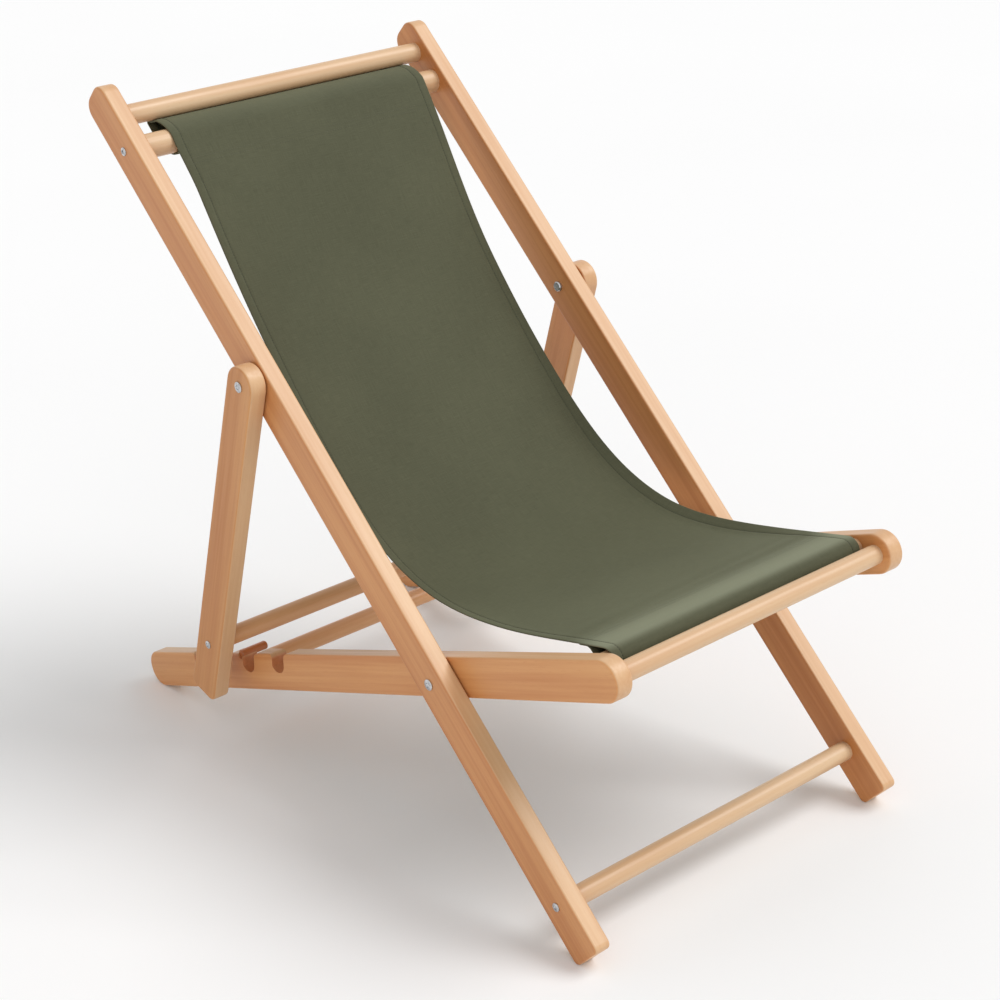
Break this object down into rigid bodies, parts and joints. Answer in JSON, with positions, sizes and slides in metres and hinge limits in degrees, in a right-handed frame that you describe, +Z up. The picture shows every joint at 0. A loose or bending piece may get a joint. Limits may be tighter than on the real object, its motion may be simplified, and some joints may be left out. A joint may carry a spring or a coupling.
{
  "type": "folding beach chair",
  "caption": "Folding wooden beach chair: long back frame, seat frame with notched rails, folding prop frame and a fabric sling hung between round rods.",
  "frame": {"origin": "centre of the chair's box, on the floor, with the chair open", "axes": "+X across the chair, towards the right of someone who faces its front; the front faces -Y; +Z up"},
  "size_m": [0.588, 0.9854, 0.8903],
  "materials": {
    "rail_wood": "oiled",
    "dowel_wood": "oiled",
    "pin_wood": "oiled",
    "steel": "satin",
    "canvas": "woven"
  },
  "bodies": {
    "back_frame": {"left_back_rail": "rail_wood", "right_back_rail": "rail_wood", "crest_rail": "dowel_wood", "top_sling_rod": "dowel_wood", "foot_stretcher": "dowel_wood", "top_rod_screws": "steel", "foot_stretcher_screws": "steel", "seat_pivot_bolts": "steel", "seat_pivot_washers": "steel", "seat_pivot_nuts": "steel", "prop_pivot_bolts": "steel", "prop_pivot_washers": "steel", "prop_pivot_nuts": "steel", "sling": "canvas"},
    "seat_frame": {"left_seat_rail": "rail_wood", "right_seat_rail": "rail_wood", "front_rail": "dowel_wood", "front_sling_rod": "dowel_wood", "rear_stretcher": "dowel_wood", "notch_pins": "pin_wood"},
    "prop_frame": {"left_prop": "rail_wood", "right_prop": "rail_wood", "prop_bar": "dowel_wood", "prop_bar_screws": "steel"}
  },
  "joints": [
    {"name": "seat_fold", "type": "hinge", "parent": "back_frame", "child": "seat_frame", "pos_m": [0, -0.19494, 0.27047], "axis": [1, 0, 0], "range_deg": [0, 56], "deforming": ["sling"]},
    {"name": "prop_fold", "type": "hinge", "parent": "back_frame", "child": "prop_frame", "pos_m": [0, 0.12067, 0.57127], "axis": [1, 0, 0], "range_deg": [0, 109]}
  ],
  "couplings": [
    {"joint": "prop_fold", "follows": "seat_fold", "ratio": 1.94}
  ]
}
